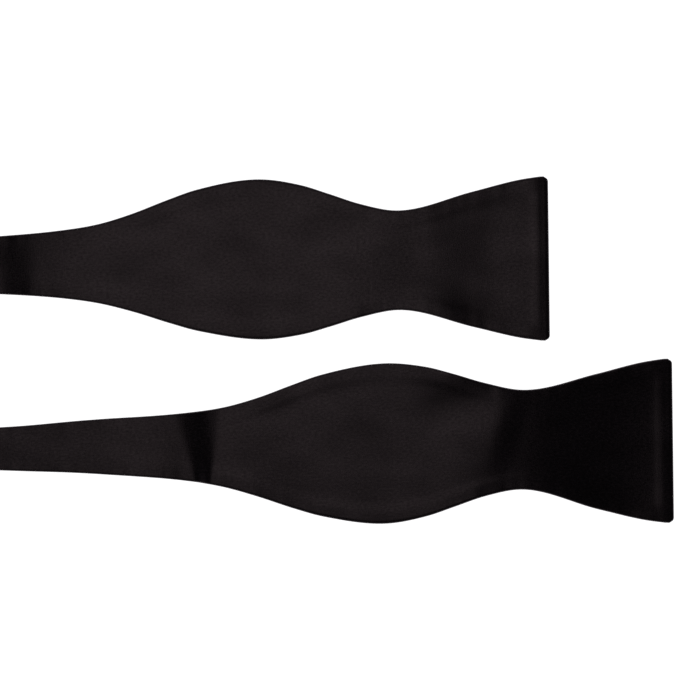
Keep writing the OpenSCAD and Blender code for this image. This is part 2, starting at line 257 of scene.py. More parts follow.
# Each wave, in mm: where its crest is along the half, its reach towards the end and towards the
# strap, its height, how far it leans for each mm across, the share of its reach to the strap that it
# loses for each mm across, and the middle and reach of its crest across.
WHOLE_WIDTH = (0, 400)
NARROWEST = 0.3                  # the least share of its reach that a wave keeps
HOOK_WAVES = [
    (73, 69, 92, 2.9, 0.1, 0, *WHOLE_WIDTH),
    (73, 13, 30, 0.45, 0.3, 0, -4, 34),
    (88, 26, 26, 1.3, 0, 0, -32, 22),
    (110, 55, 50, 0.9, 0, 0, -45, 78),
    (181, 88, 14, 1.4, 0.27, 0.043, *WHOLE_WIDTH),
    (188, 90, 18, 0.5, 0.2, 0, *WHOLE_WIDTH),
]
EYE_WAVES = [
    (-3, 4, 29, 0.55, 0, 0, *WHOLE_WIDTH),
    (66, 54, 60, 0.7, 0, 0, *WHOLE_WIDTH),
    (46, 16, 16, 0.25, 0, 0, 19, 14),
    (44, 22, 12, 0.2, 0, 0, -6, 16),
    (203, 60, 20, 0.75, 0.04, 0.02, *WHOLE_WIDTH),
]
# Sideways drift of each half's centre line, in mm: crest, reach to the end and to the strap, height.
HOOK_DRIFT = [(75, 50, 58, 1.5), (163, 40, 42, -0.6), (235, 40, 30, 0.4)]
EYE_DRIFT = [(125, 62, 62, 1.1)]
RIPPLE = 0.0009                  # height of a ripple as a share of its length
RIPPLE_LENGTHS = np.array([90, 71, 58, 47, 40, 34]) * MM
RIPPLES_END = 250 * MM           # the narrow band beyond this lies flat


def ease(t):
    """A smooth step from 0 to 1: (1 - cos(pi t)) / 2."""
    return (1 - np.cos(np.pi * np.clip(t, 0, 1))) / 2


def hump(d, crest, to_end, to_strap, height):
    """A cosine hump along a half with its own reach on either side of its crest, all in mm."""
    away = d / MM - crest
    return height * MM * ease(1 - np.abs(away) / np.where(away < 0, to_end, to_strap))


def ripples(eye, d, v):
    """Slow uneven swells of cloth that has been handled: sines of six lengths at any angle, raised
    so that the lowest point is at nothing."""
    random = np.random.default_rng(5 + eye)
    total = np.full(np.broadcast(d, v).shape, float(RIPPLE_LENGTHS.sum()))
    for span in RIPPLE_LENGTHS:
        angle, phase = random.uniform(0, np.pi), random.uniform(0, 2 * np.pi)
        total += span * np.sin(2 * np.pi * (d * np.cos(angle) + v * np.sin(angle)) / span + phase)
    return total * RIPPLE * ease((RIPPLES_END - d) / (70 * MM))


def lift(eye, d, v):
    """Height of the cloth's back above the table: its waves, each fading across, and the ripples."""
    total = ripples(eye, d, v)
    for crest, to_end, to_strap, height, lean, pinch, middle_v, reach_v in EYE_WAVES if eye else HOOK_WAVES:
        fade = ease(1 - np.abs(v / MM - middle_v) / reach_v)
        strap_side = to_strap * np.maximum(1 - pinch * v / MM, NARROWEST)
        total = total + hump(d - lean * v, crest, to_end, strap_side, height) * fade
    return total


def lay(eye, d, v, h):
    """Place points of a half. With a the heading of its centre line c, r its roll about it:
    out = h sin r - v cos r;  x, y = c + out (sin a, -cos a);  z = (w + v) sin r + h cos r + lift."""
    if eye:
        turn = np.clip((d - EYE_TURN) / TURN_R, 0, np.pi)
        up, down = ease((d - EYE_FLAT) / TWIST), ease((EYE_LEVEL - d) / TWIST)
        roll = np.pi / 2 * np.where(d < EYE_BACK, up, down)
        before, after = np.minimum(d, EYE_TURN), np.maximum(d - EYE_BACK, 0)
        cx = EYE_TIP_X - before + after - TURN_R * np.sin(turn)
        cy = TURN_R * np.cos(turn) + sum(hump(d, *drift) for drift in EYE_DRIFT)
    else:
        turn, roll = np.zeros_like(d), np.zeros_like(d)
        cx, cy = HOOK_TIP_X - d, HOOK_Y + sum(hump(d, *drift) for drift in HOOK_DRIFT)
    heading = np.pi + turn
    out = h * np.sin(roll) - v * np.cos(roll)
    x = cx + out * np.sin(heading)
    y = cy - out * np.cos(heading)
    z = (half_width(d) + v) * np.sin(roll) + h * np.cos(roll) + lift(eye, d, v)
    return np.stack(np.broadcast_arrays(x, y, z), axis=-1)


print("lengths in mm: hook half", round(HOOK_LEN / MM), "eye half", round(EYE_LEN / MM))

# %% [markdown]
# ## Making a mesh from a grid
# Every soft piece is a grid of points, rows along it and columns across. One helper turns the grid
# into quads and gives it a UV map in metres along and across the cloth, so that a weave follows the
# cut. A second helper carries a closed section along a path, for tape, thread, wire and strip metal.

# %% Grid to mesh


def unit(vectors):
    return vectors / np.maximum(np.linalg.norm(vectors, axis=-1, keepdims=True), 1e-12)


def grid_faces(rows, columns, wrap=False, caps=False):
    """Quads between neighbouring rows and columns; wrap joins the last column to the first."""
    index = np.arange(rows * columns).reshape(rows, columns)
    right = np.roll(index, -1, axis=1) if wrap else index[:, 1:]
    left = index if wrap else index[:, :-1]
    faces = np.stack([left[:-1], right[:-1], right[1:], left[1:]], axis=-1).reshape(-1, 4).tolist()
    if caps:
        faces += [index[0, ::-1].tolist(), index[-1].tolist()]
    return faces


def make_piece(name, points, faces, uv, material):
    """One object from points, faces and a UV value for each point, shaded smooth."""
    mesh = bpy.data.meshes.new(name)
    mesh.from_pydata(points.reshape(-1, 3).tolist(), [], faces)
    layer = mesh.uv_layers.new(name="cloth")
    corner_points = np.empty(len(mesh.loops), dtype=np.int32)
    mesh.loops.foreach_get("vertex_index", corner_points)
    layer.data.foreach_set("uv", uv.reshape(-1, 2)[corner_points].astype(np.float32).ravel())
    mesh.polygons.foreach_set("use_smooth", np.ones(len(mesh.polygons), dtype=bool))
    mesh.materials.append(material)
    mesh.update()
    piece = bpy.data.objects.new(name, mesh)
    bpy.context.collection.objects.link(piece)
    return piece


def joined(parts):
    """Several (points, faces, uv) made one, each one's face numbers moved on past the points before."""
    points, faces, uvs, before = [], [], [], 0
    for part_points, part_faces, part_uv in parts:
        points.append(part_points.reshape(-1, 3))
        uvs.append(part_uv.reshape(-1, 2))
        faces += [[i + before for i in face] for face in part_faces]
        before += len(points[-1])
    return np.concatenate(points), faces, np.concatenate(uvs)


def sweep(path, normal, section, closed=False):
    """Carry a section along a path: point = path + across * s + normal * t, where across is
    normal x tangent, and s, t are the section's two numbers. UV is (distance, distance round)."""
    if closed:
        tangent = unit(np.roll(path, -1, axis=0) - np.roll(path, 1, axis=0))
    else:
        tangent = unit(np.gradient(path, axis=0))
    across = unit(np.cross(normal, tangent))
    section = np.broadcast_to(section, (len(path),) + section.shape[-2:])
    points = (path[:, None] + across[:, None] * section[..., :1] + normal[:, None] * section[..., 1:])
    run = np.concatenate([[0], np.cumsum(np.linalg.norm(np.diff(path, axis=0), axis=1))])
    around = np.concatenate([[0], np.cumsum(np.linalg.norm(np.diff(section[0], axis=0), axis=1))])
    uv = np.stack(np.broadcast_arrays(run[:, None], around[None, :]), axis=-1)
    rows, columns = points.shape[:2]
    faces = grid_faces(rows, columns, wrap=True, caps=not closed)
    if closed:
        last, first = np.arange(columns) + (rows - 1) * columns, np.arange(columns)
        faces += np.stack([last, np.roll(last, -1), np.roll(first, -1), first], axis=-1).tolist()
    return points, faces, uv


def rounded_section(width, height, radius, arc_points=4):
    """A rectangle with round corners, anticlockwise, with a point on each flat close to the corner
    so that the flats shade flat."""
    angles = np.radians(np.linspace(0, 90, arc_points))
    corners = []
    for quarter, (side, top) in enumerate(((1, 1), (-1, 1), (-1, -1), (1, -1))):
        turn = angles + quarter * np.pi / 2
        arc = np.stack([side * (width / 2 - radius) + radius * np.cos(turn),
                        top * (height / 2 - radius) + radius * np.sin(turn)], axis=-1)
        corners.append(arc)
    outline = np.concatenate(corners)
    flat = np.roll(outline, -1, axis=0) - outline
    length = np.linalg.norm(flat, axis=1, keepdims=True)
    wide = (length > 4 * radius)[:, 0]
    step = np.where(wide[:, None], flat / np.maximum(length, 1e-9) * radius, 0)
    support = [[p] + ([p + s, q - s] if w else []) for p, s, q, w in
               zip(outline, step, np.roll(outline, -1, axis=0), wide)]
    return np.array([point for group in support for point in group])


def circle(radius, sides=8):
    turn = np.linspace(0, 2 * np.pi, sides, endpoint=False)
    return radius * np.stack([np.cos(turn), np.sin(turn)], axis=-1)


# %% [markdown]
# ## Satin
# Black polyester satin: each warp thread floats over several weft threads, so the face is smooth
# along the warp and a little rough across it. It reflects in a soft, stretched glow and is near
# black where it reflects nothing. The threads are about 0.1 mm apart, too fine to see from here, so
# the weave is drawn 0.4 mm apart, which is what a bundle of uneven threads shows.

# %% Weave patterns
THREAD_STEP = 0.4 * MM


def pattern_axis(tree, axis, at):
    """The piece's UV along (X) or across (Y), in metres."""
    uv = add_node(tree, "ShaderNodeUVMap", (at[0] - 400, at[1]), uv_map="cloth")
    parts = add_node(tree, "ShaderNodeSeparateXYZ", (at[0] - 200, at[1]), links={0: uv.outputs["UV"]})
    return parts.outputs[axis]


def ribs(tree, axis, period, at=(-900, 0)):
    """Even ribs: sin(2 pi u / period)."""
    turns = add_node(tree, "ShaderNodeMath", at, operation="MULTIPLY", inputs={1: 2 * math.pi / period},
                     links={0: pattern_axis(tree, axis, at)})
    return add_node(tree, "ShaderNodeMath", (at[0] + 200, at[1]), operation="SINE",
                    links={0: turns.outputs["Value"]}).outputs["Value"]


def grain(tree, along, across, at=(-900, 0), detail=3.0):
    """Noise on the UV map whose grains are along x across metres."""
    uv = add_node(tree, "ShaderNodeUVMap", (at[0] - 400, at[1]), uv_map="cloth")
    scale = add_node(tree, "ShaderNodeMapping", (at[0] - 200, at[1]),
                     inputs={"Scale": (1 / along, 1 / across, 1)}, links={"Vector": uv.outputs["UV"]})
    noise = add_node(tree, "ShaderNodeTexNoise", at, links={"Vector": scale.outputs["Vector"]},
                     inputs={"Scale": 1.0, "Detail": detail, "Roughness": 0.55})
    return noise.outputs["Fac"]


def blend_colours(tree, shader, factor, first, second):
    shade = add_node(tree, "ShaderNodeMix", (-400, 200), data_type="RGBA",
                     inputs={6: linear(first), 7: linear(second)}, links={0: factor})
    tree.links.new(shade.outputs[2], shader.inputs["Base Color"])


def bump_from(tree, shader, heights, depth, strength=1.0):
    """Adds up the heights and tilts the surface by them; depth is how deep they are, in metres."""
    total = heights[0]
    for place, height in enumerate(heights[1:]):
        total = add_node(tree, "ShaderNodeMath", (-500 + 60 * place, -300), operation="ADD",
                         links={0: total, 1: height}).outputs["Value"]
    bump = add_node(tree, "ShaderNodeBump", (-250, -300), inputs={"Strength": strength, "Distance": depth},
                    links={"Height": total})
    tree.links.new(bump.outputs["Normal"], shader.inputs["Normal"])


# %% Black satin and the sewing thread


UNEVEN = 0.07                    # how far the roughness strays from its middle value


def satin_material(name, dark, light, roughness):
    """Satin weave: floats along the warp, fine uneven picks across it, and slow uneven tension."""
    material, tree, shader = new_material(
        name, Roughness=roughness, Anisotropic=0.5, Anisotropic_Rotation=0.25,
        Specular_Tint=linear("#ffe6ec"))
    floats = grain(tree, 7 * MM, THREAD_STEP)
    picks = grain(tree, THREAD_STEP, 2.4 * MM, at=(-900, -350))
    tension = grain(tree, 26 * MM, 14 * MM, at=(-900, -700), detail=1.0)
    blend_colours(tree, shader, tension, dark, light)
    patches = add_node(tree, "ShaderNodeMapRange", (-500, 50), links={"Value": tension},
                       inputs={"From Min": 0.3, "From Max": 0.7, "To Min": 0.42, "To Max": 0.58})
    tree.links.new(patches.outputs["Result"], shader.inputs["Specular IOR Level"])
    slow = add_node(tree, "ShaderNodeMath", (-650, -700), operation="MULTIPLY", inputs={1: 6.0},
                    links={0: tension})
    bump_from(tree, shader, [floats, picks, slow.outputs["Value"]], 0.02 * MM, 0.6)
    speckle = grain(tree, 1.3 * MM, 0.8 * MM, at=(-900, 500), detail=2.0)
    uneven = add_node(tree, "ShaderNodeMapRange", (-500, 500), links={"Value": speckle},
                      inputs={"From Min": 0.3, "From Max": 0.7,
                              "To Min": roughness - UNEVEN, "To Max": roughness + UNEVEN})
    tree.links.new(uneven.outputs["Result"], shader.inputs["Roughness"])
    tangent = add_node(tree, "ShaderNodeTangent", (-250, -550), direction_type="UV_MAP", uv_map="cloth")
    tree.links.new(tangent.outputs["Tangent"], shader.inputs["Tangent"])
    return material


satin = satin_material("black polyester satin", "#070506", "#0e0a0c", 0.26)

# Spun polyester thread: matt, with a fine twist.
thread, thread_tree, thread_shader = new_material("spun polyester thread", Roughness=0.6)
twist = grain(thread_tree, 0.3 * MM, 0.15 * MM)
blend_colours(thread_tree, thread_shader, twist, "#0c0b0d", "#1c1a1e")
bump_from(thread_tree, thread_shader, [twist], 0.03 * MM)
print("materials:", satin.name, "and", thread.name)

# %% [markdown]
# ## The four satin faces
# A face is cut larger than the blade and its edge is turned in at the seam, so the blade's edge is a
# soft roll and not a cut. Front and back meet in a fine groove half way up. The seam allowance lies
# folded inside and lifts a band some millimetres wide along the edge, and the seam's tension gathers
# the cloth beside it a little. The face is one grid: its columns go from the turned-in edge round the
# roll and over to the other side, and its last rows turn in where the tape leaves the strap.

# %% How a satin face is shaped
SATIN_T = 0.22 * MM
SEAM_GAP = 0.03 * MM
ROLL_R = TIE_T / 4               # front and back each roll over half of the tie's thickness
TURN_IN = 1.3 * MM
TAPE_T = 0.7 * MM
ALLOWANCE = 6 * MM
ALLOWANCE_LIFT = 0.13 * MM
GATHER = 0.11 * MM
END_TAPER = 0.12                 # share of the thickness lost at the flared end
TAPER_AT, TAPER_L = 0.8 * MM, 4.5 * MM
GATHER_FADE = 3.2 * MM           # the gathers die away over this distance from the seam
ROW_STEP = 1.6 * MM
ARC = np.radians(np.linspace(-90, 90, 9))


def rolled_edge():
    """Distances from the edge, and heights above the seam, from the turned-in strip outwards and
    round: e = r (1 - cos t), k = r (1 + sin t), for t from -90 to 90 degrees."""
    e = np.concatenate([[TURN_IN], ROLL_R * (1 - np.cos(ARC))])
    k = np.concatenate([[0], ROLL_R * (1 + np.sin(ARC))])
    return e, k


def tucked_end(length):
    """Rows at the strap's open end: round the fold and back in along the tape, half its thickness
    above the middle. r is half of the height that is left, d = length - r (1 - cos t)."""
    r = (2 * ROLL_R - TAPE_T / 2) / 2 - SEAM_GAP
    t = ARC[::-1]
    d = length - r * (1 - np.cos(t))
    k = TAPE_T / 2 + SEAM_GAP + r * (1 + np.sin(t))
    return np.concatenate([d, [length - 4 * MM]]), np.concatenate([k, k[-1:]])


def gathers(d, seed):
    """Small uneven gathers beside a seam: a sum of sines with lengths from 5 to 23 mm."""
    lengths = np.array([23, 14.5, 9.7, 6.9, 5.1]) * MM
    phase = np.random.default_rng(seed).uniform(0, 2 * np.pi, len(lengths))
    return sum(np.sin(2 * np.pi * d / span + p) for span, p in zip(lengths, phase)) / len(lengths)


def satin_grid(eye, front):
    """Rows along a half and columns across it. The height above the seam is the lower of the
    roll at the sides and the roll at the end, plus the allowance's swell and the gathers."""
    edge_e, edge_k = rolled_edge()
    length = EYE_LEN if eye else HOOK_LEN
    body = np.arange(2 * ROLL_R + ROW_STEP / 2, length - 2 * ROLL_R, ROW_STEP)
    tuck_d, tuck_k = tucked_end(length)
    d = np.concatenate([edge_e[1:], body, tuck_d])
    row_k = np.concatenate([edge_k[1:], np.full(len(body), 2 * ROLL_R), tuck_k])
    w = half_width(d)[:, None]
    inner = np.linspace(0, 1, 17)[1:] ** 1.3
    edges = np.broadcast_to(edge_e, (len(d), len(edge_e)))
    e = np.concatenate([edges, ROLL_R + (w - ROLL_R) * inner], axis=1)
    k = np.concatenate([edge_k, np.full(len(inner), 2 * ROLL_R)])
    e = np.concatenate([e, e[:, -2::-1]], axis=1)
    row_k = row_k * (1 - END_TAPER * (1 - ease((d - TAPER_AT) / TAPER_L)))
    k = np.minimum(np.concatenate([k, k[-2::-1]])[None, :], row_k[:, None])
    side = np.where(np.arange(e.shape[1]) < e.shape[1] // 2, -1.0, 1.0)
    v = side * (w - e)
    d = np.broadcast_to(d[:, None], v.shape)
    near = np.minimum(e, d)
    on_blade = ease((w - 10 * MM) / (14 * MM))
    swell = ALLOWANCE_LIFT * on_blade * (1 - ease((near - 0.75 * ALLOWANCE) / (0.5 * ALLOWANCE)))
    seed = 10 + 2 * eye + front
    gather = GATHER * gathers(d + side * 130 * MM, seed) * np.exp(-near / GATHER_FADE)
    full = np.clip(k / (2 * ROLL_R), 0, 1) ** 2 * ease((length - d) / (6 * MM))
    height = SEAM_GAP + k + (swell + gather) * full
    middle_h = TIE_T / 2
    h = middle_h + height if front else np.maximum(middle_h - height, 0.02 * MM)
    points = lay(eye, d, v, h)
    return points, np.stack([d, v], axis=-1)


# %% Sewing the four faces


for half_name, is_eye in (("hook_half", False), ("eye_half", True)):
    for face_name, is_front in (("front", True), ("back", False)):
        grid, grid_uv = satin_grid(is_eye, is_front)
        quads = grid_faces(*grid.shape[:2])
        quads = quads if is_front else [quad[::-1] for quad in quads]
        face = make_piece(f"{half_name}_{face_name}_satin", grid, quads, grid_uv, satin)
        thickness = face.modifiers.new("cloth thickness", "SOLIDIFY")
        thickness.thickness = SATIN_T
        thickness.offset = -1
        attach(face, half_name)
        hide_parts(f"{half_name}_{face_name}")

# %% [markdown]
# ## The interlining
# A brushed wool and cotton canvas gives the bow its body. It is cut to the finished size less the
# seam, and it lies loose between the faces, so it is a plain strip with its own thickness. Its weave
# is open, drawn as a square mesh 0.9 mm apart.

# %% Canvas between the faces
CORE_INSET = 1.7 * MM
CORE_T = 0.6 * MM
TUCK = 12 * MM
canvas, canvas_tree, canvas_shader = new_material(
    "brushed cotton canvas", Roughness=0.9, Sheen_Weight=0.2, Sheen_Tint=linear("#e8e2d2"))
CANVAS_MESH = 0.9 * MM
canvas_warp = ribs(canvas_tree, "X", CANVAS_MESH)
canvas_weft = ribs(canvas_tree, "Y", CANVAS_MESH, at=(-900, -300))
fluff = grain(canvas_tree, 3 * MM, 3 * MM, at=(-900, -600))
blend_colours(canvas_tree, canvas_shader, fluff, "#d6cfbc", "#bdb49d")
bump_from(canvas_tree, canvas_shader, [canvas_warp, canvas_weft, fluff], 0.08 * MM)

for half_name, is_eye in (("hook_half", False), ("eye_half", True)):
    core_end = (EYE_LEN if is_eye else HOOK_LEN) - TUCK - MM
    core_d = np.append(np.arange(CORE_INSET, core_end, 2 * ROW_STEP), core_end)[:, None]
    share = np.linspace(-1, 1, 17)[None, :]
    core_v = share * (half_width(core_d) - CORE_INSET)
    core_d = np.broadcast_to(core_d, core_v.shape)
    core_points = lay(is_eye, core_d, core_v, TIE_T / 2)
    core = make_piece(f"{half_name}_canvas", core_points, grid_faces(*core_points.shape[:2]),
                      np.stack([core_d, core_v], axis=-1), canvas)
    thickness = core.modifiers.new("canvas thickness", "SOLIDIFY")
    thickness.thickness = CORE_T
    thickness.offset = 0
    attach(core, half_name)
    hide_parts(f"{half_name}_interlining")
    print(core.name, round((core_end - CORE_INSET) / MM), "mm long")

# %% [markdown]
# ## Thread
# Stitches are what hold it all together, so each one is there. A stitch is a short piece of thread
# with rounded ends: its radius grows from almost nothing to full over the first sixth of its length
# and falls away again in the same way. One function lays stitches of a given length along any line.

# %% Stitches along a line
THREAD_R = 0.13 * MM
STITCH_STATIONS = np.array([0.0, 0.04, 0.16, 0.5, 0.84, 0.96, 1.0])
STITCH_RADII = np.array([0.05, 0.65, 1.0, 1.0, 1.0, 0.65, 0.05])


def stitches(line, up, length, gap=0.5 * MM, radius=THREAD_R, sides=6):
    """Thread laid along a line in stitches of one length. Each is a ring of points at seven
    stations, placed by distance along the line, with the radius shrinking to nothing at its ends."""
    run = np.concatenate([[0], np.cumsum(np.linalg.norm(np.diff(line, axis=0), axis=1))])
    count = max(1, int((run[-1] + gap) / (length + gap)))
    start = (np.arange(count) + 0.5) * run[-1] / count - length / 2
    at = np.clip(start[:, None] + STITCH_STATIONS * length, 0, run[-1])
    centre = np.stack([np.interp(at, run, line[:, i]) for i in range(3)], axis=-1)
    normal = unit(np.stack([np.interp(at, run, up[:, i]) for i in range(3)], axis=-1))
    tangent = unit(centre[:, -1:] - centre[:, :1])
    across = unit(np.cross(normal, tangent))
    ring = circle(1.0, sides)
    size = (radius * STITCH_RADII)[None, :, None, None]
    rim = across[:, :, None] * ring[:, :1] + normal[:, :, None] * ring[:, 1:]
    points = centre[:, :, None] + size * rim
    one = np.array(grid_faces(len(STITCH_STATIONS), sides, wrap=True))
    step = len(STITCH_STATIONS) * sides
    quads = (one[None] + np.arange(count)[:, None, None] * step).reshape(-1, 4).tolist()
    ends = [[i * step + j for j in range(sides)][::-1] for i in range(count)]
    ends += [[(i + 1) * step - sides + j for j in range(sides)] for i in range(count)]
    uv = np.stack(np.broadcast_arrays(at[:, :, None], np.arange(sides) * radius), axis=-1)
    return points, quads + ends, uv


def line_on(eye, d, v, h):
    """A line on a half, and the way up from it."""
    line = lay(eye, d, v, np.full(d.shape, h))
    return line, unit(lay(eye, d, v, np.full(d.shape, h + MM)) - line)


def add_stitches(name, body, node, runs, length):
    """One piece of several runs of stitches, each a (line, up) pair."""
    points, faces, uv = joined([stitches(line, up, length) for line, up in runs])
    piece = make_piece(name, points, faces, uv, thread)
    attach(piece, body)
    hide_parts(node)
    print(name, len(points) // (len(STITCH_STATIONS) * 6), "stitches")
    return piece


# %% The seam inside each half
SEAM_IN = 1.0 * MM               # the seam runs this far inside the rolled edge
SEAM_STITCH = 2.6 * MM
for half_name, is_eye in (("hook_half", False), ("eye_half", True)):
    seam_end = (EYE_LEN if is_eye else HOOK_LEN) - TUCK - MM
    along = np.arange(2.2 * MM, seam_end, 1.5 * MM)
    runs = [line_on(is_eye, along, side * (half_width(along) - SEAM_IN), TIE_T / 2) for side in (-1, 1)]
    end_v = np.linspace(-1, 1, 60) * (half_width(SEAM_IN) - 1.4 * MM)
    runs.append(line_on(is_eye, np.full(60, SEAM_IN), end_v, TIE_T / 2))
    add_stitches(f"{half_name}_seam_stitches", half_name, f"{half_name}_seam", runs, SEAM_STITCH)

# %% [markdown]
# ## The metal fittings
# The slider, the hook and the eye are nickel plated. The slider is pressed from 1 mm sheet with a
# round bar across it, the hook is a bent strip with a bar, and the eye is a loop of wire. Each is a
# section carried along a path. Their places come from the boxes of the CAD nodes they stand for.

# %% Nickel plate and the two kinds of path
nickel, nickel_tree, nickel_shader = new_material(
    "nickel plated steel", Metallic=1.0, Roughness=0.24)
polish = grain(nickel_tree, 0.25 * MM, 3 * MM)
blend_colours(nickel_tree, nickel_shader, polish, "#c6c2ba", "#b3afa8")
bump_from(nickel_tree, nickel_shader, [polish], 0.004 * MM)

BAND = 15 * MM                   # width of the band and of the tape
METAL_T = 1.0 * MM
BAR_R = 0.6 * MM
ARM_W = 1.6 * MM
EDGE_R = 0.3 * MM
slider_lo, slider_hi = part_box("slider_frame")
hook_box_lo, hook_box_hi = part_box("hook")
ring_lo, ring_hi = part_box("eye_ring")
SLIDER_X, SLIDER_Z = (slider_lo[0] + slider_hi[0]) / 2, (slider_lo[2] + slider_hi[2]) / 2
HOOK_X, PLATE_Z = hook_box_hi[0] - BAR_R, hook_box_hi[2] - METAL_T / 2
MOUTH_X, MOUTH_Z = ring_hi[0] - BAR_R, (ring_lo[2] + ring_hi[2]) / 2
EYE_X = ring_lo[0] + BAR_R
FIT_W = slider_hi[1] - slider_lo[1]
ARM_Y = (FIT_W - ARM_W) / 2


def oblong(x0, x1, half_y, z, radius, steps=7):
    """A rectangle in a level plane with a round corner of so many steps, as a closed path."""
    turn = np.radians(np.linspace(0, 90, steps))
    centres = [(x1 - radius, half_y - radius), (x0 + radius, half_y - radius),
               (x0 + radius, radius - half_y), (x1 - radius, radius - half_y)]
    arcs = []
    for quarter, (cx, cy) in enumerate(centres):
        angle = turn + quarter * np.pi / 2
        arcs.append(np.stack([cx + radius * np.cos(angle), cy + radius * np.sin(angle)], axis=-1))
    flat = np.concatenate(arcs)
    return np.column_stack([flat[:, 0], flat[:, 1] + HOOK_Y, np.full(len(flat), z)])


def rod(x, half_y, z, radius, sides=20):
    """A straight bar across the band, its ends eased down to 0.7 of its radius."""
    turn = np.radians(np.linspace(0, 90, 5))
    inset, size = 0.3 * radius * (1 - np.sin(turn)), 0.7 + 0.3 * np.sin(turn)
    y = np.concatenate([inset - half_y, (half_y - inset)[::-1]])
    scale = np.concatenate([size, size[::-1]])
    path = np.column_stack([np.full(len(y), x), y + HOOK_Y, np.full(len(y), z)])
    section = circle(radius, sides)[None] * scale[:, None, None]
    return sweep(path, np.tile([0.0, 0.0, 1.0], (len(y), 1)), section)


def level(path):
    return np.tile([0.0, 0.0, 1.0], (len(path), 1))


def add_fitting(name, body, node, parts):
    points, faces, uv = joined(parts)
    piece = make_piece(name, points, faces, uv, nickel)
    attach(piece, body)
    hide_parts(node)
    print(name, "made of", len(parts), "shapes,", len(points), "points")
    return piece


# %% Slider
RIM_W = 1.5 * MM
frame_path = oblong(slider_lo[0] + RIM_W / 2, slider_hi[0] - RIM_W / 2, ARM_Y, SLIDER_Z, 1.3 * MM)
add_fitting("slider", "slider", "slider_frame", [
    sweep(frame_path, level(frame_path), rounded_section(RIM_W, METAL_T, EDGE_R), closed=True),
    rod(SLIDER_X, ARM_Y + 0.3 * MM, SLIDER_Z, METAL_T / 2),
])

# %% Hook: a bar, two arms that meet in a plate, and a tongue bent back under it
SHOULDER_X = HOOK_X - 4.5 * MM
TONGUE_W = 6 * MM
TONGUE_L = 4.5 * MM
turn = np.radians(np.linspace(0, 90, 7))
yoke_r = 1.6 * MM
yoke_x = SHOULDER_X - 1.25 * MM
one_arm = np.concatenate([[[HOOK_X + 0.3 * MM, ARM_Y]], [[HOOK_X - 1.5 * MM, ARM_Y]],
                          np.stack([yoke_x + yoke_r - yoke_r * np.sin(turn),
                                    ARM_Y - yoke_r + yoke_r * np.cos(turn)], axis=-1)])
yoke = np.concatenate([one_arm, [[yoke_x, 0]], one_arm[::-1] * [1, -1]])
yoke = np.column_stack([yoke[:, 0], yoke[:, 1] + HOOK_Y, np.full(len(yoke), PLATE_Z)])

bend_r = PLATE_Z - MOUTH_Z       # the tongue's middle, round the mouth
bend_x = MOUTH_X - BAR_R
down = np.radians(np.linspace(90, 270, 15))
tongue_x = np.concatenate([
    [yoke_x + 0.6 * MM, yoke_x - 1.5 * MM, bend_x + MM],
    bend_x + bend_r * np.cos(down),
    bend_x + TONGUE_L * np.array([0.4, 0.75, 0.9, 0.97, 1.0])])
tongue_z = np.concatenate([
    np.full(3, PLATE_Z),
    MOUTH_Z + bend_r * np.sin(down),
    np.full(5, MOUTH_Z - bend_r)])
tongue = np.column_stack([tongue_x, np.full(len(tongue_x), HOOK_Y), tongue_z])
slope = unit(np.gradient(tongue, axis=0))
tongue_up = np.column_stack([-slope[:, 2], np.zeros(len(slope)), slope[:, 0]])
narrow = np.ones(len(tongue))
narrow[-4:] = [0.96, 0.86, 0.68, 0.42]
taper = np.column_stack([narrow, np.ones(len(narrow))])
tongue_section = rounded_section(TONGUE_W, METAL_T, EDGE_R)[None] * taper[:, None]
add_fitting("hook", "hook", "hook", [
    rod(HOOK_X, ARM_Y + 0.5 * MM, PLATE_Z, BAR_R),
    sweep(yoke, level(yoke), rounded_section(ARM_W, METAL_T, EDGE_R)),
    sweep(tongue, tongue_up, tongue_section),
])

# %% Eye: a closed loop of round wire
ring_path = oblong(EYE_X, MOUTH_X, ARM_Y, MOUTH_Z, 1.6 * MM)
add_fitting("eye", "eye", "eye_ring", [sweep(ring_path, level(ring_path), circle(BAR_R, 12), closed=True)])

# %% [markdown]
# ## The adjuster tape
# One length of ribbed tape leaves the strap, goes over the slider's bar and on to the hook, folds
# round the hook's bar, and comes back under itself to a loop sewn round the slider's bar. It is six
# pieces here, because each follows other bodies as the slider travels. Each is a flat section carried
# along a smooth line in the plane of its side view. The ribs of grosgrain run across it, 1 mm apart.

# %% Ribbed tape
tape_cloth, tape_tree, tape_shader = new_material(
    "black grosgrain tape", Roughness=0.5, Sheen_Weight=0.06, Sheen_Tint=linear("#a9a0ad"))
tape_ribs = ribs(tape_tree, "X", 1.0 * MM)
tape_fuzz = grain(tape_tree, 0.5 * MM, 2 * MM, at=(-900, -400))
blend_colours(tape_tree, tape_shader, tape_fuzz, "#0b0a0c", "#151317")
bump_from(tape_tree, tape_shader, [tape_ribs, tape_fuzz], 0.08 * MM)

TAPE_SECTION = rounded_section(BAND, TAPE_T, 0.24 * MM)
TAPE_STEP = 0.45 * MM


def smooth_line(points, step=TAPE_STEP, soften=2.0 * MM):
    """A line through corners given in a side view, sampled evenly by distance and softened by a
    running mean, while its two ends stay where they are."""
    points = np.array(points, float)
    run = np.concatenate([[0], np.cumsum(np.linalg.norm(np.diff(points, axis=0), axis=1))])
    count = max(8, int(run[-1] / step))
    at = np.linspace(0, run[-1], count)
    line = np.stack([np.interp(at, run, points[:, i]) for i in range(2)], axis=-1)
    reach = int(soften / step / 2)
    if reach:
        before, after = 2 * line[0] - line[reach:0:-1], 2 * line[-1] - line[-2:-reach - 2:-1]
        padded = np.concatenate([before, line, after])
        kernel = np.ones(2 * reach + 1) / (2 * reach + 1)
        line = np.stack([np.convolve(padded[:, i], kernel, "valid") for i in range(2)], axis=-1)
    return line


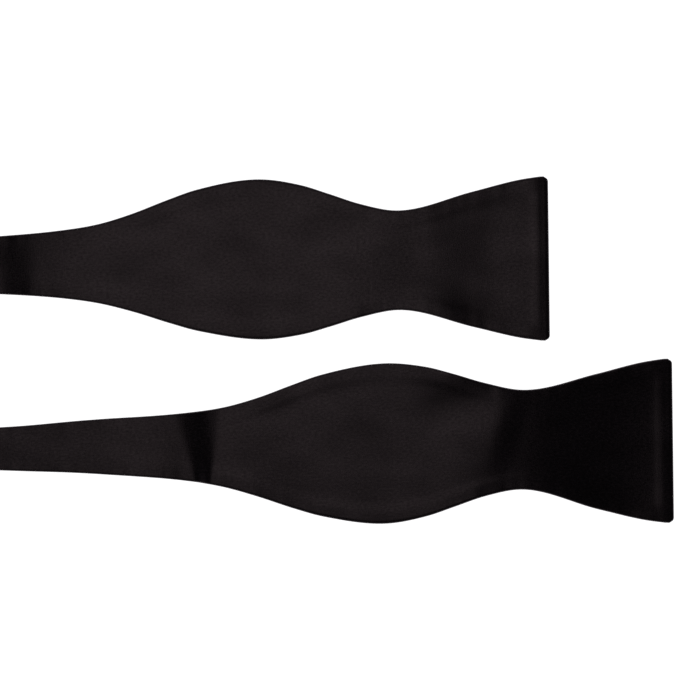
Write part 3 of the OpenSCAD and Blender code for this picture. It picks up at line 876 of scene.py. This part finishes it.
def tape_strip(line):
    """Tape along a side-view line of x and middle height."""
    path = np.column_stack([line[:, 0], np.full(len(line), HOOK_Y), line[:, 1]])
    slope = unit(np.gradient(path, axis=0))
    return sweep(path, np.column_stack([-slope[:, 2], np.zeros(len(slope)), slope[:, 0]]), TAPE_SECTION)


def add_tape(name, line, node):
    points, faces, uv = tape_strip(line)
    piece = make_piece(name, points, faces, uv, tape_cloth)
    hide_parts(node)
    length = float(np.sum(np.linalg.norm(np.diff(line, axis=0), axis=1)))
    print(name, round(length / MM, 1), "mm of tape")
    return piece, length


# %% Tape over the slider, along the band and round both bars
AIR = 0.1 * MM
HALF = TAPE_T / 2
STRAP_X = HOOK_TIP_X - HOOK_LEN
RUN_Z = TAPE_T + AIR + HALF                       # middle of the upper layer
OVER_END = (slider_hi[0] - slider_lo[0]) / 2 + MM
OVER_Z = SLIDER_Z + METAL_T / 2 + TAPE_T + 2 * AIR + HALF
BAR_IN = (slider_hi[0] - slider_lo[0]) / 2 - 1.7 * MM
FOLD_R = BAR_R + AIR + HALF

inlet_line = smooth_line([(SLIDER_X + OVER_END, RUN_Z), (SLIDER_X + OVER_END + 2 * MM, RUN_Z),
                          (STRAP_X - 1.5 * MM, TIE_T / 2), (STRAP_X + TUCK, TIE_T / 2)])
inlet, inlet_length = add_tape("adjuster_tape_inlet", inlet_line[::-1], "tape_inlet")

over_line = smooth_line([
    (SLIDER_X + OVER_END, RUN_Z), (SLIDER_X + BAR_IN, RUN_Z), (SLIDER_X + 1.6 * MM, OVER_Z),
    (SLIDER_X - 1.6 * MM, OVER_Z), (SLIDER_X - BAR_IN, RUN_Z), (SLIDER_X - OVER_END, RUN_Z),
], soften=1.6 * MM)
over, over_length = add_tape("adjuster_tape_over_bar", over_line, "tape_over_bar")

run_line = smooth_line([
    (SLIDER_X - OVER_END, RUN_Z), (HOOK_X + 14 * MM, RUN_Z),
    (HOOK_X + 3 * MM, PLATE_Z + FOLD_R), (HOOK_X + 1.2 * MM, PLATE_Z + FOLD_R),
], soften=5 * MM)
run, run_length = add_tape("adjuster_tape_run", run_line, "tape_run")

fold_turn = np.radians(np.linspace(90, 270, 25))
half_round = np.stack([HOOK_X + FOLD_R * np.cos(fold_turn), PLATE_Z + FOLD_R * np.sin(fold_turn)], axis=-1)
fold_line = np.concatenate([[(HOOK_X + 1.3 * MM, PLATE_Z + FOLD_R)], half_round,
                            [(HOOK_X + 1.3 * MM, PLATE_Z - FOLD_R)]])
fold, fold_length = add_tape("adjuster_tape_fold", fold_line, "tape_fold")

return_line = smooth_line([(HOOK_X + 1.2 * MM, PLATE_Z - FOLD_R), (HOOK_X + 3 * MM, PLATE_Z - FOLD_R),
                           (HOOK_X + 9 * MM, HALF), (SLIDER_X - 4 * MM, HALF)], soften=5 * MM)
tape_back, back_length = add_tape("adjuster_tape_return", return_line, "tape_return")

LOOP_R = METAL_T / 2 + AIR + HALF
loop_turn = np.radians(np.linspace(-110, 190, 36))
loop_line = np.concatenate([
    smooth_line([(SLIDER_X - 4.1 * MM, HALF), (SLIDER_X - 3.2 * MM, HALF),
                 (SLIDER_X + LOOP_R * math.cos(loop_turn[0]), SLIDER_Z + LOOP_R * math.sin(loop_turn[0]))],
                soften=1.2 * MM)[:-1],
    np.stack([SLIDER_X + LOOP_R * np.cos(loop_turn), SLIDER_Z + LOOP_R * np.sin(loop_turn)], axis=-1)])
loop, loop_length = add_tape("slider_loop_tape", loop_line, "slider_loop")

# %% What each piece of tape follows
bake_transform(inlet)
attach(over, "slider")
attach(loop, "slider")
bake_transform(run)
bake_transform(tape_back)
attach(fold, "band_end")
tape_lengths = [inlet_length, over_length, run_length, fold_length, back_length, loop_length]
print("tape in all", round(sum(tape_lengths) / MM), "mm")

# %% Stitches that hold the tape in the strap
BOX_W = BAND - 3 * MM
JOIN_STITCH = 2.0 * MM


def box_of_stitches(eye, d0, d1, h):
    """Four rows of stitches in a rectangle on a strap."""
    t = np.linspace(0, 1, 12)
    along = d0 + (d1 - d0) * t
    rows = [line_on(eye, along, np.full(12, side * BOX_W / 2), h) for side in (-1, 1)]
    return rows + [line_on(eye, np.full(12, end), BOX_W * (t - 0.5) * 0.92, h) for end in (d0, d1)]


join_top = TIE_T + 0.3 * THREAD_R
add_stitches("tape_join_stitching", "hook_half", "tape_join_stitches",
             box_of_stitches(False, HOOK_LEN - TUCK + 2 * MM, HOOK_LEN - 2 * MM, join_top), JOIN_STITCH)

# %% [markdown]
# ## The eye's loop and the label
# A short tape sewn in the end of the eye half goes round the eye's bar and is caught by two rows of
# stitches. A blank label, woven with a plain border, is sewn at the back of the neck, on the inner
# side of the band, with one row of stitches at each end.

# %% Loop that carries the eye
EYE_STRAP_X = lay(True, np.array(EYE_LEN), np.array(0.0), np.array(0.0))[0]
LOW_Z = MOUTH_Z - FOLD_R
HIGH_Z = LOW_Z + TAPE_T + AIR
eye_turn = np.radians(np.linspace(-90, 110, 26))
lower_ply = smooth_line([(EYE_STRAP_X - TUCK, TIE_T / 2), (EYE_STRAP_X - MM, TIE_T / 2),
                         (EYE_STRAP_X + 2 * MM, LOW_Z), (EYE_X, LOW_Z)])[:-1]
round_bar = np.stack([EYE_X + FOLD_R * np.cos(eye_turn), MOUTH_Z + FOLD_R * np.sin(eye_turn)], axis=-1)
upper_ply = smooth_line([round_bar[-1], (EYE_X - 4.2 * MM, HIGH_Z), (EYE_STRAP_X + 0.2 * MM, HIGH_Z)],
                        soften=1.8 * MM)[1:]
eye_loop, eye_loop_length = add_tape("eye_loop_tape_piece", np.concatenate([lower_ply, round_bar, upper_ply]),
                                     "eye_loop_tape")
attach(eye_loop, "eye_half")

# %% Its stitches
across_row = np.linspace(-0.5, 0.5, 12) * BOX_W
loop_rows = []
for row_at in (6.1 * MM, 7.3 * MM):
    row = np.column_stack([np.full(12, EYE_X - row_at), HOOK_Y + across_row,
                           np.full(12, HIGH_Z + HALF + 0.3 * THREAD_R)])
    loop_rows.append((row, level(row)))
add_stitches("eye_loop_stitching", "eye_half", "eye_loop_stitches", loop_rows, JOIN_STITCH)
add_stitches("eye_join_stitching", "eye_half", "eye_join_stitches",
             box_of_stitches(True, EYE_LEN - TUCK + 2 * MM, EYE_LEN - 2 * MM, join_top), JOIN_STITCH)

# %% Blank woven label
LABEL_L, LABEL_W, LABEL_T = 40 * MM, 10 * MM, 0.3 * MM
label_cloth, label_tree, label_shader = new_material("woven label", Roughness=0.55)
label_weave = grain(label_tree, 0.35 * MM, 0.35 * MM)
border = add_node(label_tree, "ShaderNodeMath", (-700, 300), operation="ABSOLUTE",
                  links={0: pattern_axis(label_tree, "Y", (-1000, 300))})
border_line = add_node(label_tree, "ShaderNodeMath", (-550, 300), operation="COMPARE",
                       inputs={1: LABEL_W / 2 - 1.1 * MM, 2: 0.22 * MM}, links={0: border.outputs["Value"]})
blend_colours(label_tree, label_shader, border_line.outputs["Value"], "#19181c", "#8d8578")
label_ribs = ribs(label_tree, "X", 0.5 * MM, at=(-900, -300))
bump_from(label_tree, label_shader, [label_weave, label_ribs], 0.03 * MM)

label_middle = (EYE_TURN + EYE_BACK) / 2
label_d = label_middle + LABEL_L * np.linspace(-0.5, 0.5, 61)
label_section = rounded_section(LABEL_W, LABEL_T, 0.12 * MM)
label_gap = 0.1 * MM
label_dd, label_v = np.broadcast_arrays(label_d[:, None], label_section[None, :, 0])
label_h = -label_gap - LABEL_T / 2 + label_section[None, :, 1]
label_points = lay(True, label_dd, label_v, np.broadcast_to(label_h, label_v.shape))
label = make_piece("neck_label_woven", label_points,
                   [f[::-1] for f in grid_faces(*label_points.shape[:2], wrap=True, caps=True)],
                   np.stack([label_dd - label_middle, label_v], axis=-1), label_cloth)
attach(label, "eye_half")
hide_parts("neck_label")

label_row = np.linspace(-0.5, 0.5, 8) * (LABEL_W - 1.6 * MM)
label_ends = [line_on(True, np.full(8, label_middle + side * (LABEL_L / 2 - MM)), label_row,
                      -label_gap - LABEL_T - 0.3 * THREAD_R) for side in (-1, 1)]
add_stitches("neck_label_stitching", "eye_half", "neck_label_stitches", label_ends, 1.6 * MM)
